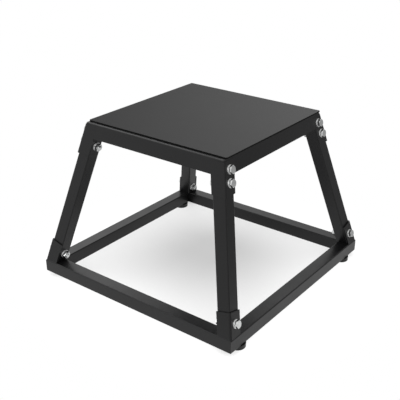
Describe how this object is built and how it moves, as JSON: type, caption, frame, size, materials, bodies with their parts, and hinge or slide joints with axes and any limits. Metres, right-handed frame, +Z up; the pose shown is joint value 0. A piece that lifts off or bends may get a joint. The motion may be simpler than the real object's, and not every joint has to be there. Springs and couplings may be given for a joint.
{
  "type": "plyo box",
  "caption": "Open steel plyo box: a square tube base on rubber feet, leaning square legs bolted into angle brackets, and a smaller flat deck with a rubber mat to jump on.",
  "frame": {"origin": "on the floor, under the middle of the base", "axes": "+Z up from the floor to the deck, +X from left to right along the front, +Y from front to back; bolt heads are on the left and right faces"},
  "size_m": [0.445, 0.44, 0.3118],
  "materials": {
    "black_powder_coated_steel": "satin black powder coat on steel",
    "zinc_plated_steel": "bright zinc plating",
    "mat_rubber": "matte black rubber sheet with a fine grain",
    "foot_rubber": "satin black moulded rubber"
  },
  "bodies": {
    "root": {"top_mat": "mat_rubber", "deck_plate": "black_powder_coated_steel", "top_rail_front": "black_powder_coated_steel", "top_rail_right": "black_powder_coated_steel", "top_rail_back": "black_powder_coated_steel", "top_rail_left": "black_powder_coated_steel", "upper_bracket_front_left": "black_powder_coated_steel", "upper_bracket_front_right": "black_powder_coated_steel", "upper_bracket_back_left": "black_powder_coated_steel", "upper_bracket_back_right": "black_powder_coated_steel", "leg_front_left": "black_powder_coated_steel", "leg_front_right": "black_powder_coated_steel", "leg_back_left": "black_powder_coated_steel", "leg_back_right": "black_powder_coated_steel", "lower_bracket_front_left": "black_powder_coated_steel", "lower_bracket_front_right": "black_powder_coated_steel", "lower_bracket_back_left": "black_powder_coated_steel", "lower_bracket_back_right": "black_powder_coated_steel", "base_rail_front": "black_powder_coated_steel", "base_rail_right": "black_powder_coated_steel", "base_rail_back": "black_powder_coated_steel", "base_rail_left": "black_powder_coated_steel", "foot_front_left": "foot_rubber", "foot_front_right": "foot_rubber", "foot_back_left": "foot_rubber", "foot_back_right": "foot_rubber", "foot_screws": "zinc_plated_steel", "upper_bolts": "zinc_plated_steel", "upper_bolt_washers": "zinc_plated_steel", "upper_nut_washers": "zinc_plated_steel", "upper_nuts": "zinc_plated_steel", "lower_bolts": "zinc_plated_steel", "lower_bolt_washers": "zinc_plated_steel", "lower_nut_washers": "zinc_plated_steel", "lower_nuts": "zinc_plated_steel"}
  },
  "joints": []
}
